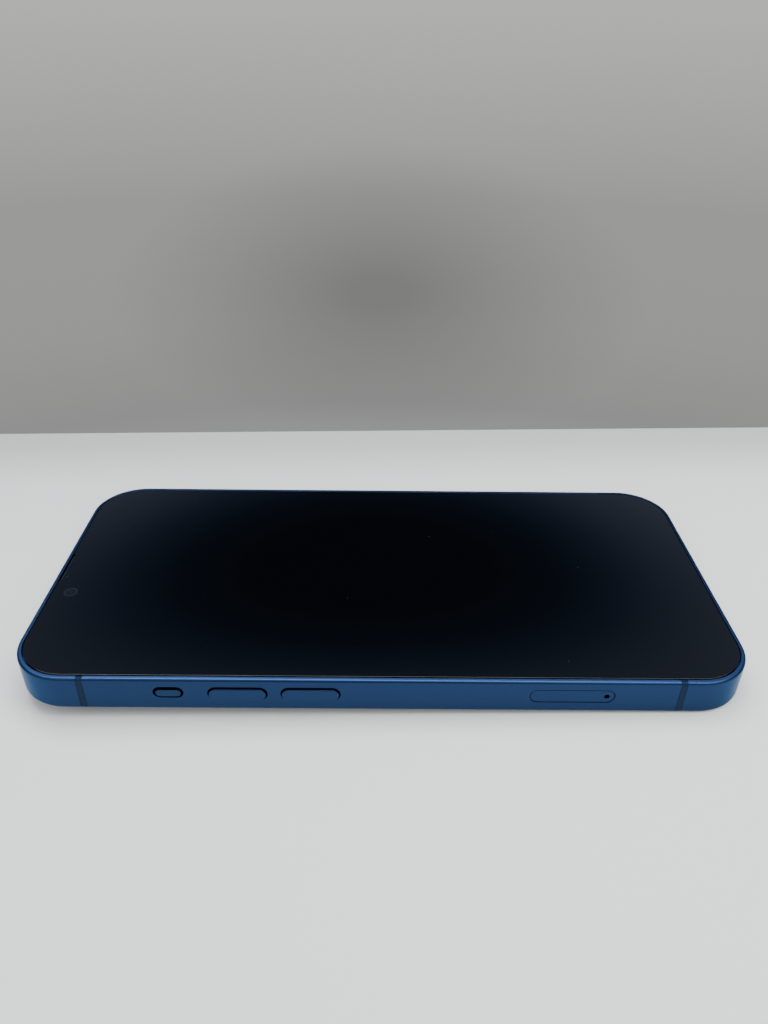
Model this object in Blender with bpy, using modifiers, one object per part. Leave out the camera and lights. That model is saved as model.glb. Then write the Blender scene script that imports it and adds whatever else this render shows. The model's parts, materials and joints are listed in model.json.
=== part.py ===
"""A flat-sided smartphone, built as the pieces it comes apart into on a bench.

Units are metres. X runs along the phone, with the top end at -X and the charging port at +X.
Y runs across it, with the volume keys and the SIM tray at -Y and the side key at +Y.
Z is up. The screen faces +Z, and z = 0 is the plane of the two rear lens rings.
"""

import math

import bmesh
import bpy
from mathutils import Matrix, Vector

MM = 0.001

# Driving dimensions of the case.
LENGTH = 146.7 * MM
WIDTH = 71.5 * MM
THICKNESS = 7.65 * MM
CORNER = 11.4 * MM
CAMERA_BUMP = 2.5 * MM
RIM_SIDE = 1.1 * MM
RIM_END = 0.9 * MM
EDGE_ROUND = 0.5 * MM

HALF_X = LENGTH / 2
HALF_Y = WIDTH / 2
BACK = CAMERA_BUMP
FRONT = BACK + THICKNESS

# Clearances.
GAP = 0.3 * MM
GLASS_GAP = 0.25 * MM
SEAM = 0.05 * MM
KEY_GAP = 0.28 * MM
PORT_GAP = 0.13 * MM

# The frame's section: a wall with a step for the glass at the front and at the back.
FRAME_BACK = BACK + 0.06 * MM
FRAME_FRONT = FRONT - 0.04 * MM
FRONT_STEP = FRONT - 1.2 * MM
BACK_STEP = BACK + 0.95 * MM
WALL_SIDE = 2.75 * MM
WALL_END = 2.4 * MM
MIDDLE_Z = (FRAME_BACK + FRAME_FRONT) / 2

# The stack between the two glasses, as heights of lower and upper faces.
REAR_GLASS = (BACK, BACK + 0.7 * MM)
COIL = (BACK + 0.95 * MM, BACK + 1.35 * MM)
BATTERY_Z = (BACK + 1.65 * MM, BACK + 4.75 * MM)
BOARD_Z = (BACK + 1.9 * MM, BACK + 2.6 * MM)
MIDPLATE_Z = (BACK + 5.05 * MM, BACK + 5.5 * MM)
BACKPLATE_Z = (BACK + 5.8 * MM, BACK + 6.05 * MM)
PANEL_Z = (BACK + 6.25 * MM, BACK + 6.7 * MM)
COVER_GLASS = (FRONT - 0.7 * MM, FRONT)
GASKET_Z = (FRONT_STEP + 0.15 * MM, COVER_GLASS[0] - 0.12 * MM)

# The antenna bands that split the frame.
BAND_X = 58.1 * MM
BAND_WIDTH = 1.1 * MM

# The keys. Lengths run along X, and heights along Z.
KEY_Z = BACK + 4.15 * MM
KEY_HEIGHT = 3.3 * MM
KEY_PROUD = 0.4 * MM
KEY_WALL = 1.35 * MM
KEY_FLANGE_GAP = 0.1 * MM
KEY_FLANGE = 0.55 * MM
KEY_POST = 0.9 * MM
KEY_TRAVEL = 0.25 * MM
SWITCH_PLUNGER = 0.3 * MM
SWITCH_BODY = (3.4 * MM, 0.9 * MM, 1.5 * MM)
VOLUME_LENGTH = 11.65 * MM
VOLUME_UP_X = -27.95 * MM
VOLUME_DOWN_X = -13.85 * MM
SIDE_KEY_LENGTH = 17.0 * MM
SIDE_KEY_X = -21.0 * MM

# The silent switch, shown at the end of its travel next to the back.
SWITCH_X = -41.3 * MM
SWITCH_TAB_X = SWITCH_X - 0.08 * MM
SWITCH_TRAVEL = 0.8 * MM
SWITCH_GAP = 0.08 * MM
SWITCH_TAB = (5.0 * MM, 1.8 * MM)
SWITCH_SLOT = (5.9 * MM, SWITCH_TAB[1] + SWITCH_TRAVEL + 2 * SWITCH_GAP)
SWITCH_SLOT_Z = BACK + 4.4 * MM
SWITCH_TAB_Z = SWITCH_SLOT_Z - SWITCH_TRAVEL / 2
SWITCH_POCKET_HALF = 4.4 * MM
SWITCH_POCKET_Z = (BACK + 2.2 * MM, BACK + 6.2 * MM)

# The SIM tray and the lever that pushes it out.
TRAY_X = 36.85 * MM
TRAY_Z = BACK + 4.05 * MM
TRAY_SLOT = (16.6 * MM, 3.25 * MM)
TRAY_THICKNESS = 1.0 * MM
TRAY_WIDTH = 11.6 * MM
TRAY_PLATE_X = 36.2 * MM
TRAY_END_Y = -18.4 * MM
EJECT_X = 43.54 * MM
EJECT_HOLE = 0.52 * MM
EJECT_ROD = 0.5 * MM
LEVER_PIVOT = (37.8 * MM, -15.5 * MM)
LEVER_REACH = 6.0 * MM
LEVER_HALF = 0.7 * MM
LEVER_THICKNESS = 0.8 * MM
LEVER_BORE = 0.35 * MM
PIVOT_RADIUS = 0.25 * MM

# The rear cameras, side by side across the top end.
LENS_X = -59.8 * MM
LENS_Y = (24.5 * MM, 10.7 * MM)
LENS_RING = 6.4 * MM
LENS_HOLE = 4.8 * MM
PLATEAU = (-57.5 * MM, 17.6 * MM)
PLATEAU_SIZE = (22.2 * MM, 28.6 * MM)
PLATEAU_CORNER = 6.5 * MM
PLATEAU_FACE = 1.25 * MM
FLASH = (-49.9 * MM, 24.5 * MM)
REAR_MIC = (-49.9 * MM, 10.7 * MM)

# The front camera and the housing behind the top edge of the screen.
FRONT_CAMERA = (-68.2 * MM, -9.1 * MM)
NOTCH_X = -65.3 * MM
NOTCH_Y = 13.2 * MM
EARPIECE = (0.6 * MM, 10.0 * MM)

# The bottom end.
PORT_SIZE = (8.9 * MM, 3.15 * MM)
PORT_WALL = 0.3 * MM
PORT_DEPTH = 7.6 * MM
SCREW_Y = 7.6 * MM
SCREW_HOLE = 0.85 * MM
SOUND_HOLE = 0.75 * MM
SOUND_PITCH = 2.1 * MM
SPEAKER_HOLES = 5
MIC_HOLES = 3
SOUND_START = 10.6 * MM

CORNER_STEPS = 12
PILL_STEPS = 6
ROUND_STEPS = 24
LENS_STEPS = 32
SHARP = math.radians(35)

COLOURS = {
    "blue": (0.035, 0.085, 0.165),
    "band": (0.020, 0.038, 0.070),
    "black": (0.006, 0.007, 0.010),
    "rear": (0.040, 0.105, 0.210),
    "steel": (0.55, 0.56, 0.58),
    "grey": (0.20, 0.21, 0.22),
    "board": (0.012, 0.035, 0.030),
    "copper": (0.55, 0.25, 0.12),
    "white": (0.72, 0.71, 0.66),
    "gold": (0.62, 0.46, 0.18),
}


def clear_scene():
    for item in list(bpy.data.objects):
        bpy.data.objects.remove(item, do_unlink=True)
    for group in list(bpy.data.collections):
        bpy.data.collections.remove(group)


def new_collection(name):
    group = bpy.data.collections.new(name)
    bpy.context.scene.collection.children.link(group)
    return group


clear_scene()
PARTS = new_collection("smartphone")
CUTTERS = new_collection("cutters")


# Outlines: lists of (x, y) points, counter-clockwise.


def arc(centre, radius, start, end, steps):
    """Points on a circular arc, from start to end in degrees."""
    angles = [math.radians(start + (end - start) * i / steps) for i in range(steps + 1)]
    return [
        (centre[0] + radius * math.cos(a), centre[1] + radius * math.sin(a)) for a in angles
    ]


def rounded(half_x, half_y, radius, centre=(0, 0), steps=CORNER_STEPS):
    """A rectangle with four round corners."""
    in_x = half_x - radius
    in_y = half_y - radius
    points = []
    for turn, (side_x, side_y) in enumerate(((1, 1), (-1, 1), (-1, -1), (1, -1))):
        corner = (centre[0] + side_x * in_x, centre[1] + side_y * in_y)
        points += arc(corner, radius, 90 * turn, 90 * turn + 90, steps)
    return points


def pill(length, height, centre=(0, 0), steps=PILL_STEPS):
    """A slot shape: two half circles joined by straight sides."""
    radius = height / 2
    reach = length / 2 - radius
    right = arc((centre[0] + reach, centre[1]), radius, -90, 90, 2 * steps)
    left = arc((centre[0] - reach, centre[1]), radius, 90, 270, 2 * steps)
    return right + left


def circle(radius, centre=(0, 0), steps=ROUND_STEPS):
    return arc(centre, radius, 0, 360 - 360 / steps, steps - 1)


# Solids.


def paint(piece, colour, roughness=0.45, metallic=0.0):
    """Gives the piece its own Principled material."""
    material = bpy.data.materials.new(piece.name)
    material.use_nodes = True
    shader = material.node_tree.nodes["Principled BSDF"]
    shader.inputs["Base Color"].default_value = (*COLOURS[colour], 1)
    shader.inputs["Roughness"].default_value = roughness
    shader.inputs["Metallic"].default_value = metallic
    piece.data.materials.clear()
    piece.data.materials.append(material)
    return piece


def add_object(name, mesh, matrix, group=None):
    piece = bpy.data.objects.new(name, mesh)
    (group or PARTS).objects.link(piece)
    piece.matrix_world = matrix
    return piece


def smooth(mesh):
    mesh.shade_smooth()
    mesh.set_sharp_from_angle(angle=SHARP)


def facing(axis):
    """Turns a flat outline: its X and Y become X and Z when it faces Y, and Y and Z when it faces X."""
    if axis == "Y":
        return Matrix.Rotation(math.radians(90), 4, "X")
    if axis == "X":
        return Matrix.Rotation(math.radians(90), 4, "Z") @ Matrix.Rotation(math.radians(90), 4, "X")
    return Matrix.Identity(4)


def slab(name, outlines, low, high, axis="Z", group=None):
    """A flat plate between low and high on its axis; outlines after the first are holes."""
    curve = bpy.data.curves.new(name, "CURVE")
    curve.dimensions = "2D"
    curve.fill_mode = "BOTH"
    curve.extrude = (high - low) / 2
    for outline in outlines:
        spline = curve.splines.new("POLY")
        spline.points.add(len(outline) - 1)
        for point, (x, y) in zip(spline.points, outline):
            point.co = (x, y, 0, 1)
        spline.use_cyclic_u = True
    guide = bpy.data.objects.new(name, curve)
    bpy.context.scene.collection.objects.link(guide)
    graph = bpy.context.evaluated_depsgraph_get()
    mesh = bpy.data.meshes.new_from_object(guide.evaluated_get(graph))
    bpy.data.objects.remove(guide)
    bpy.data.curves.remove(curve)
    clean(mesh)
    shift = {"Z": (0, 0, 1), "Y": (0, 1, 0), "X": (1, 0, 0)}[axis]
    place = Matrix.Translation(Vector(shift) * (low + high) / 2) @ facing(axis)
    smooth(mesh)
    return add_object(name, mesh, place, group)


def clean(mesh):
    """Welds a filled curve's caps, and joins the triangles of each flat face."""
    work = bmesh.new()
    work.from_mesh(mesh)
    bmesh.ops.remove_doubles(work, verts=work.verts, dist=1e-6)
    bmesh.ops.dissolve_limit(
        work, angle_limit=math.radians(0.5), verts=work.verts, edges=work.edges
    )
    bmesh.ops.recalc_face_normals(work, faces=work.faces)
    work.to_mesh(mesh)
    work.free()


def block(name, low, high, group=None):
    """A box between two corners."""
    low = Vector(low)
    high = Vector(high)
    mesh = bpy.data.meshes.new(name)
    work = bmesh.new()
    bmesh.ops.create_cube(work, size=1)
    bmesh.ops.scale(work, vec=high - low, verts=work.verts)
    work.to_mesh(mesh)
    work.free()
    return add_object(name, mesh, Matrix.Translation((low + high) / 2), group)


def rod(name, radius, start, end, steps=ROUND_STEPS, group=None):
    """A cylinder from start to end."""
    start = Vector(start)
    end = Vector(end)
    mesh = bpy.data.meshes.new(name)
    work = bmesh.new()
    bmesh.ops.create_cone(
        work,
        cap_ends=True,
        segments=steps,
        radius1=radius,
        radius2=radius,
        depth=(end - start).length,
    )
    work.to_mesh(mesh)
    work.free()
    smooth(mesh)
    turn = (end - start).to_track_quat("Z", "Y").to_matrix().to_4x4()
    return add_object(name, mesh, Matrix.Translation((start + end) / 2) @ turn, group)


def turned(name, profile, centre, steps=LENS_STEPS, closed=False):
    """A turned shape about Z: the profile is (radius, z) points, running down its outer side."""
    mesh = bpy.data.meshes.new(name)
    ends = len(profile) if closed else len(profile) - 1
    edges = [(i, (i + 1) % len(profile)) for i in range(ends)]
    mesh.from_pydata([(r, 0, z) for r, z in profile], edges, [])
    piece = add_object(name, mesh, Matrix.Translation((*centre, 0)))
    screw = piece.modifiers.new("turn", "SCREW")
    screw.steps = steps
    screw.render_steps = steps
    screw.use_merge_vertices = True
    screw.merge_threshold = 1e-6
    screw.use_smooth_shade = True
    return piece


def round_edges(piece, width, segments=3, angle=50):
    bevel = piece.modifiers.new("round", "BEVEL")
    bevel.width = width
    bevel.segments = segments
    bevel.limit_method = "ANGLE"
    bevel.angle_limit = math.radians(angle)
    return piece


def combine(piece, other, operation):
    """A Boolean with another object, which becomes a cutter."""
    step = piece.modifiers.new(operation.lower(), "BOOLEAN")
    step.operation = operation
    step.solver = "EXACT"
    step.object = other
    other.hide_render = True
    other.display_type = "WIRE"
    if other.name not in CUTTERS.objects:
        for group in list(other.users_collection):
            group.objects.unlink(other)
        CUTTERS.objects.link(other)
    return piece


def cut(piece, *tools):
    for tool in tools:
        combine(piece, tool, "DIFFERENCE")
    return piece


def join(piece, *others):
    for other in others:
        combine(piece, other, "UNION")
    return piece


def on_axis(piece, point):
    """Moves the piece's origin to a point, and leaves its shape where it is."""
    shift = piece.matrix_world.inverted() @ Vector(point)
    piece.data.transform(Matrix.Translation(-shift))
    piece.matrix_world = piece.matrix_world @ Matrix.Translation(shift)
    return piece


# The frame: one ring, split by four antenna bands into two rails and two caps.


def ring_outline(inset_x, inset_y):
    return rounded(HALF_X - inset_x, HALF_Y - inset_y, CORNER - (inset_x + inset_y) / 2)


def frame_tools():
    """The cutters that turn the frame's blank into a ring with a step at each face."""
    pocket = slab("cut_pocket", [ring_outline(WALL_END, WALL_SIDE)], 0, FRONT + 2 * MM, group=CUTTERS)
    opening = ring_outline(RIM_END, RIM_SIDE)
    front = slab("cut_front_step", [opening], FRONT_STEP, FRONT + 1 * MM, group=CUTTERS)
    back = slab("cut_back_step", [opening], BACK - 1 * MM, BACK_STEP, group=CUTTERS)
    return [pocket, front, back]


def frame_piece(name, keep, openings=()):
    """The stretch of the ring inside the keep box, with its own openings."""
    piece = slab(name, [ring_outline(0, 0)], FRAME_BACK, FRAME_FRONT)
    round_edges(piece, EDGE_ROUND, 4)
    cut(piece, *FRAME_TOOLS)
    cut(piece, *openings)
    low, high = keep
    return combine(piece, block("keep_" + name, low, high, CUTTERS), "INTERSECT")


def keep_box(x_range, y_range):
    return (x_range[0], y_range[0], 0), (x_range[1], y_range[1], FRONT + 1 * MM)


def key_openings(label, x, length, side):
    """The opening for a key's cap, and the wider pocket behind it for the key's flange."""
    outer = side * (HALF_Y + 1 * MM)
    floor = side * (HALF_Y - KEY_WALL)
    inner = side * (HALF_Y - WALL_SIDE - 1 * MM)
    through = slab(
        "cut_" + label,
        [pill(length, KEY_HEIGHT, (x, KEY_Z))],
        min(outer, floor),
        max(outer, floor),
        "Y",
        CUTTERS,
    )
    behind = slab(
        "cut_" + label + "_flange",
        [pill(length + 1.6 * MM, KEY_HEIGHT + 0.8 * MM, (x, KEY_Z))],
        min(floor, inner),
        max(floor, inner),
        "Y",
        CUTTERS,
    )
    return [through, behind]


def switch_openings():
    through = slab(
        "cut_switch_slot",
        [pill(*SWITCH_SLOT, (SWITCH_X, SWITCH_SLOT_Z))],
        -HALF_Y - 1 * MM,
        -HALF_Y + KEY_WALL,
        "Y",
        CUTTERS,
    )
    behind = block(
        "cut_switch_pocket",
        (SWITCH_X - SWITCH_POCKET_HALF, -HALF_Y + KEY_WALL - SEAM, SWITCH_POCKET_Z[0]),
        (SWITCH_X + SWITCH_POCKET_HALF, -HALF_Y + WALL_SIDE + 1 * MM, SWITCH_POCKET_Z[1]),
        CUTTERS,
    )
    return [through, behind]


def tray_opening():
    return slab(
        "cut_tray_slot",
        [pill(*TRAY_SLOT, (TRAY_X, TRAY_Z))],
        -HALF_Y - 1 * MM,
        -HALF_Y + WALL_SIDE + 1 * MM,
        "Y",
        CUTTERS,
    )


def bottom_openings():
    """The charging port, two screw holes, and the rows of sound holes, through the bottom end."""
    inner = HALF_X - WALL_END - 1 * MM
    outer = HALF_X + 1 * MM
    length = PORT_SIZE[0] + 2 * PORT_GAP
    height = PORT_SIZE[1] + 2 * PORT_GAP
    tools = [slab("cut_port", [pill(length, height, (0, MIDDLE_Z))], inner, outer, "X", CUTTERS)]
    for side in (-1, 1):
        y = side * SCREW_Y
        start = (inner, y, MIDDLE_Z)
        tools.append(rod(f"cut_screw_{side}", SCREW_HOLE, start, (outer, y, MIDDLE_Z), group=CUTTERS))
    rows = ((1, SPEAKER_HOLES), (-1, MIC_HOLES))
    for side, count in rows:
        for i in range(count):
            y = side * (SOUND_START + i * SOUND_PITCH)
            start = (inner, y, MIDDLE_Z)
            end = (outer, y, MIDDLE_Z)
            tools.append(rod(f"cut_sound_{side}_{i}", SOUND_HOLE, start, end, 16, CUTTERS))
    return tools


def build_frame():
    reach_x = HALF_X + 1 * MM
    reach_y = HALF_Y + 1 * MM
    band_in = BAND_X - BAND_WIDTH / 2
    band_out = BAND_X + BAND_WIDTH / 2
    left_tools = key_openings("volume_up", VOLUME_UP_X, VOLUME_LENGTH, -1)
    left_tools += key_openings("volume_down", VOLUME_DOWN_X, VOLUME_LENGTH, -1)
    left_tools += switch_openings()
    left_tools.append(tray_opening())
    right_tools = key_openings("side_key", SIDE_KEY_X, SIDE_KEY_LENGTH, 1)
    rail = (-band_in + SEAM, band_in - SEAM)
    pieces = {
        "frame_left_rail": (keep_box(rail, (-reach_y, 0)), left_tools),
        "frame_right_rail": (keep_box(rail, (0, reach_y)), right_tools),
        "frame_top_cap": (keep_box((-reach_x, -band_out - SEAM), (-reach_y, reach_y)), ()),
        "frame_bottom_cap": (
            keep_box((band_out + SEAM, reach_x), (-reach_y, reach_y)),
            bottom_openings(),
        ),
    }
    for name, (keep, tools) in pieces.items():
        paint(frame_piece(name, keep, tools), "blue", 0.38, 0.9)
    for end, side_x in (("top", -1), ("bottom", 1)):
        for hand, side_y in (("left", -1), ("right", 1)):
            x_range = sorted((side_x * band_in, side_x * band_out))
            y_range = sorted((0, side_y * reach_y))
            name = f"antenna_band_{end}_{hand}"
            paint(frame_piece(name, keep_box(x_range, y_range)), "band", 0.5)


# The two glasses, the display and the plate between them.


def glass_outline():
    return ring_outline(RIM_END + GLASS_GAP, RIM_SIDE + GLASS_GAP)


def notch_tool(name, margin):
    return block(
        name,
        (-HALF_X, -NOTCH_Y - margin, BACK),
        (NOTCH_X + margin, NOTCH_Y + margin, FRONT),
        CUTTERS,
    )


def build_cover_glass():
    glass = slab("cover_glass", [glass_outline()], *COVER_GLASS)
    round_edges(glass, 0.05 * MM, 2)
    edge = -HALF_X + RIM_END + GLASS_GAP
    slot = block(
        "cut_earpiece",
        (edge - 1 * MM, -EARPIECE[1] / 2, COVER_GLASS[0] - 1 * MM),
        (edge + EARPIECE[0], EARPIECE[1] / 2, FRONT + 1 * MM),
        CUTTERS,
    )
    paint(cut(glass, slot), "black", 0.04)
    mesh_bar = block(
        "earpiece_mesh",
        (edge + 0.08 * MM, -EARPIECE[1] / 2 + 0.1 * MM, COVER_GLASS[0]),
        (edge + EARPIECE[0] - 0.1 * MM, EARPIECE[1] / 2 - 0.1 * MM, FRONT - 0.35 * MM),
    )
    paint(mesh_bar, "grey", 0.6, 0.6)


def build_display():
    inset_x = WALL_END + 0.15 * MM
    inset_y = WALL_SIDE + 0.25 * MM
    panel = slab("display_panel", [ring_outline(inset_x, inset_y)], *PANEL_Z)
    paint(cut(panel, notch_tool("cut_panel_notch", 0)), "black", 0.2)
    backplate = slab("display_backplate", [ring_outline(inset_x + GAP, inset_y + GAP)], *BACKPLATE_Z)
    paint(cut(backplate, notch_tool("cut_backplate_notch", GAP)), "steel", 0.5, 1)
    outer = ring_outline(RIM_END + 0.3 * MM, RIM_SIDE + 0.3 * MM)
    inner = ring_outline(WALL_END + 0.05 * MM, WALL_SIDE - 0.35 * MM)
    paint(slab("display_gasket", [outer, inner], *GASKET_Z), "black", 0.8)


def build_midplate():
    inset = GAP
    plate = slab("midplate", [ring_outline(WALL_END + inset, WALL_SIDE + inset)], *MIDPLATE_Z)
    port = block(
        "cut_midplate_port",
        (HALF_X - WALL_END - 8 * MM, -6 * MM, BACK),
        (HALF_X, 6 * MM, FRONT),
        CUTTERS,
    )
    end = block(
        "cut_midplate_end",
        (-HALF_X, -HALF_Y, BACK),
        (NOTCH_X + 1 * MM, HALF_Y, FRONT),
        CUTTERS,
    )
    paint(cut(plate, port, end), "steel", 0.5, 1)


def build_rear_glass():
    glass = slab("rear_glass", [glass_outline()], *REAR_GLASS)
    round_edges(glass, 0.22 * MM, 3)
    window = plateau_outline(GLASS_GAP)
    opening = slab("cut_plateau", [window], REAR_GLASS[0] - 1 * MM, REAR_GLASS[1] + 1 * MM, group=CUTTERS)
    paint(cut(glass, opening), "rear", 0.12)


# The rear cameras.


def plateau_outline(grow=0):
    half_x = PLATEAU_SIZE[0] / 2 + grow
    half_y = PLATEAU_SIZE[1] / 2 + grow
    return rounded(half_x, half_y, PLATEAU_CORNER + grow, PLATEAU, 8)


def build_plateau():
    """The raised island, whose foot passes through the rear glass."""
    plateau = slab("camera_plateau", [plateau_outline()], PLATEAU_FACE, REAR_GLASS[1])
    round_edges(plateau, 0.45 * MM, 3)
    low = (0, 0, PLATEAU_FACE - 1 * MM)
    high = (0, 0, REAR_GLASS[1] + 1 * MM)
    tools = []
    holes = [(LENS_X, y, LENS_HOLE + 0.5 * MM, LENS_STEPS) for y in LENS_Y]
    holes.append((*FLASH, 2.6 * MM, ROUND_STEPS))
    holes.append((*REAR_MIC, 0.6 * MM, 12))
    for i, (x, y, radius, steps) in enumerate(holes):
        start = Vector(low) + Vector((x, y, 0))
        end = Vector(high) + Vector((x, y, 0))
        tools.append(rod(f"cut_plateau_{i}", radius, start, end, steps, CUTTERS))
    paint(cut(plateau, *tools), "rear", 0.25)


def lens_ring(name, centre):
    """A ring with a rounded rim that stands on the plateau, and a collar that passes through it."""
    rim = 0.35 * MM
    flange = 0.95 * MM
    collar = LENS_HOLE + 0.3 * MM
    foot = REAR_GLASS[1] - 0.2 * MM
    outer_corner = arc((LENS_RING - rim, rim), rim, 0, -90, 4)
    profile = [(LENS_HOLE, foot), (collar, foot), (collar, flange), (LENS_RING, flange)]
    profile += outer_corner
    profile += [(LENS_HOLE + 0.15 * MM, 0), (LENS_HOLE, 0.15 * MM)]
    return paint(turned(name, profile, centre, closed=True), "blue", 0.25, 0.9)


def lens_cover(name, centre):
    radius = LENS_HOLE - 0.15 * MM
    low = 0.3 * MM
    high = 0.95 * MM
    profile = [(0, high), (radius, high), (radius, low + 0.1 * MM), (radius - 0.1 * MM, low), (0, low)]
    return paint(turned(name, profile, centre), "black", 0.03)


def camera_module(name, centre):
    """The square can that guides the moving lens barrel."""
    half = 6.3 * MM
    floor = BATTERY_Z[1] - 0.5 * MM
    x, y = centre
    can = block(name, (x - half, y - half, COIL[0] + 0.05 * MM), (x + half, y + half, BATTERY_Z[1]))
    round_edges(can, 0.5 * MM, 2)
    bore = rod(f"cut_{name}", 4.1 * MM, (x, y, 0), (x, y, floor), LENS_STEPS, CUTTERS)
    return paint(cut(can, bore), "grey", 0.5, 0.4)


def lens_barrel(name, centre):
    """The lens barrel, which moves along Z to focus."""
    low = 1.45 * MM
    high = BATTERY_Z[1] - 1.0 * MM
    wall = 3.7 * MM
    mouth = 1.9 * MM
    profile = [
        (0, high),
        (wall, high),
        (wall, low + 0.2 * MM),
        (wall - 0.2 * MM, low),
        (mouth + 0.9 * MM, low),
        (mouth, low + 0.5 * MM),
        (0, low + 0.35 * MM),
    ]
    return paint(turned(name, profile, centre), "black", 0.3)


def build_rear_cameras():
    for label, y in zip(("wide", "ultrawide"), LENS_Y):
        centre = (LENS_X, y)
        lens_ring(f"lens_ring_{label}", centre)
        lens_cover(f"lens_cover_{label}", centre)
        camera_module(f"camera_module_{label}", centre)
        lens_barrel(f"lens_barrel_{label}", centre)
    x, y = FLASH
    radius = 2.3 * MM
    low = PLATEAU_FACE + 0.05 * MM
    high = REAR_GLASS[1] + 0.3 * MM
    profile = [(0, high), (radius, high), (radius, low + 0.15 * MM), (radius - 0.15 * MM, low), (0, low)]
    paint(turned("flash_lens", profile, (x, y), ROUND_STEPS), "white", 0.2)


def build_camera_bracket():
    """The frame that holds both camera modules in line."""
    half_x = 7.0 * MM
    centre = (LENS_X, sum(LENS_Y) / 2)
    half_y = 14.0 * MM
    wall = 0.4 * MM
    outer = rounded(half_x, half_y, 2.2 * MM, centre, 4)
    inner = rounded(half_x - wall, half_y - wall, 1.0 * MM, centre, 4)
    low = COIL[0] + 0.2 * MM
    paint(slab("camera_bracket", [outer, inner], low, low + 2.6 * MM), "steel", 0.4, 1)


# The front camera and the earpiece, in the notch of the display.


def build_front_sensors():
    top = COVER_GLASS[0] - 0.2 * MM
    low = MIDPLATE_Z[0] - 1.2 * MM
    profile = [
        (0, top - 0.5 * MM),
        (1.1 * MM, top - 0.2 * MM),
        (1.3 * MM, top),
        (1.9 * MM, top),
        (1.9 * MM, low),
        (0, low),
    ]
    paint(turned("front_camera", profile, FRONT_CAMERA, ROUND_STEPS), "black", 0.25)
    rear_x = NOTCH_X - 1.2 * MM
    far_x = -HALF_X + WALL_END + 0.5 * MM
    speaker = block(
        "earpiece_speaker",
        (far_x, -5.4 * MM, MIDPLATE_Z[0] - 1.6 * MM),
        (rear_x, 5.4 * MM, COVER_GLASS[0] - 0.45 * MM),
    )
    paint(round_edges(speaker, 0.4 * MM, 2), "grey", 0.5, 0.5)
    sensor = block(
        "proximity_sensor",
        (far_x + 0.6 * MM, 7.6 * MM, MIDPLATE_Z[0] + 0.2 * MM),
        (rear_x, 11.0 * MM, COVER_GLASS[0] - 0.3 * MM),
    )
    paint(round_edges(sensor, 0.25 * MM, 2), "black", 0.3)


# The battery, the boards and the charging coil.


def build_battery():
    low = (-22.5 * MM, -10.8 * MM, BATTERY_Z[0])
    high = (52.0 * MM, 31.2 * MM, BATTERY_Z[1])
    paint(round_edges(block("battery", low, high), 0.7 * MM, 3), "black", 0.6)


def board_outline():
    """An L shape: a leg beside the battery and an arm across the phone below the cameras."""
    left = -46.0 * MM
    inner_x = -24.0 * MM
    right = 50.0 * MM
    low = -30.0 * MM
    inner_y = -12.2 * MM
    high = 31.0 * MM
    return [(left, low), (right, low), (right, inner_y), (inner_x, inner_y), (inner_x, high), (left, high)]


def build_boards():
    paint(slab("main_board", [board_outline()], *BOARD_Z), "board", 0.5)
    can_low = BOARD_Z[1] + 0.1 * MM
    can_high = MIDPLATE_Z[0] - GAP
    shield_can("board_shield", (-44.6 * MM, -11.0 * MM), (-25.4 * MM, 29.6 * MM), can_low, can_high)
    shield_can("radio_shield", (-22.0 * MM, -28.6 * MM), (24.0 * MM, -13.6 * MM), can_low, can_high)
    chip = block(
        "processor",
        (-42.0 * MM, 0, can_low + 0.1 * MM),
        (-28.0 * MM, 14.0 * MM, can_high - 0.6 * MM),
    )
    paint(round_edges(chip, 0.15 * MM, 1), "black", 0.35)


def shield_can(name, low_xy, high_xy, low_z, high_z):
    """A thin metal lid, open towards the board."""
    can = block(name, (*low_xy, low_z), (*high_xy, high_z))
    work = bmesh.new()
    work.from_mesh(can.data)
    floor = [face for face in work.faces if face.normal.z < -0.5]
    bmesh.ops.delete(work, geom=floor, context="FACES")
    work.to_mesh(can.data)
    work.free()
    wall = can.modifiers.new("wall", "SOLIDIFY")
    wall.thickness = 0.2 * MM
    wall.offset = -1
    return paint(can, "steel", 0.3, 1)


def build_charging():
    steps = 48
    coil = [circle(21.0 * MM, steps=steps), circle(10.5 * MM, steps=steps)]
    paint(slab("charging_coil", coil, *COIL), "copper", 0.35, 1)


# The keys, each on its own origin at the middle of its cap.


def key(name, x, length, side):
    """A cap that stands through the wall, a flange that keeps it in, and a post to its switch."""
    face = side * (HALF_Y + KEY_PROUD)
    flange_out = side * (HALF_Y - KEY_WALL - KEY_FLANGE_GAP)
    flange_in = flange_out - side * KEY_FLANGE
    post_in = flange_in - side * KEY_POST
    lap = side * 0.2 * MM
    cap_ends = sorted((face, flange_out - lap))
    cap_shape = pill(length - 2 * KEY_GAP, KEY_HEIGHT - 2 * KEY_GAP, (x, KEY_Z))
    cap = slab(name, [cap_shape], *cap_ends, "Y")
    round_edges(cap, 0.15 * MM, 3)
    flange_shape = pill(length + 1.0 * MM, KEY_HEIGHT + 0.3 * MM, (x, KEY_Z))
    flange = slab("join_" + name, [flange_shape], *sorted((flange_out, flange_in)), "Y", CUTTERS)
    post_start = (x, flange_in + lap, KEY_Z)
    post = rod("post_" + name, 0.7 * MM, post_start, (x, post_in, KEY_Z), 16, CUTTERS)
    join(cap, flange, post)
    on_axis(cap, (x, side * HALF_Y, KEY_Z))
    return paint(cap, "blue", 0.36, 0.9)


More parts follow.
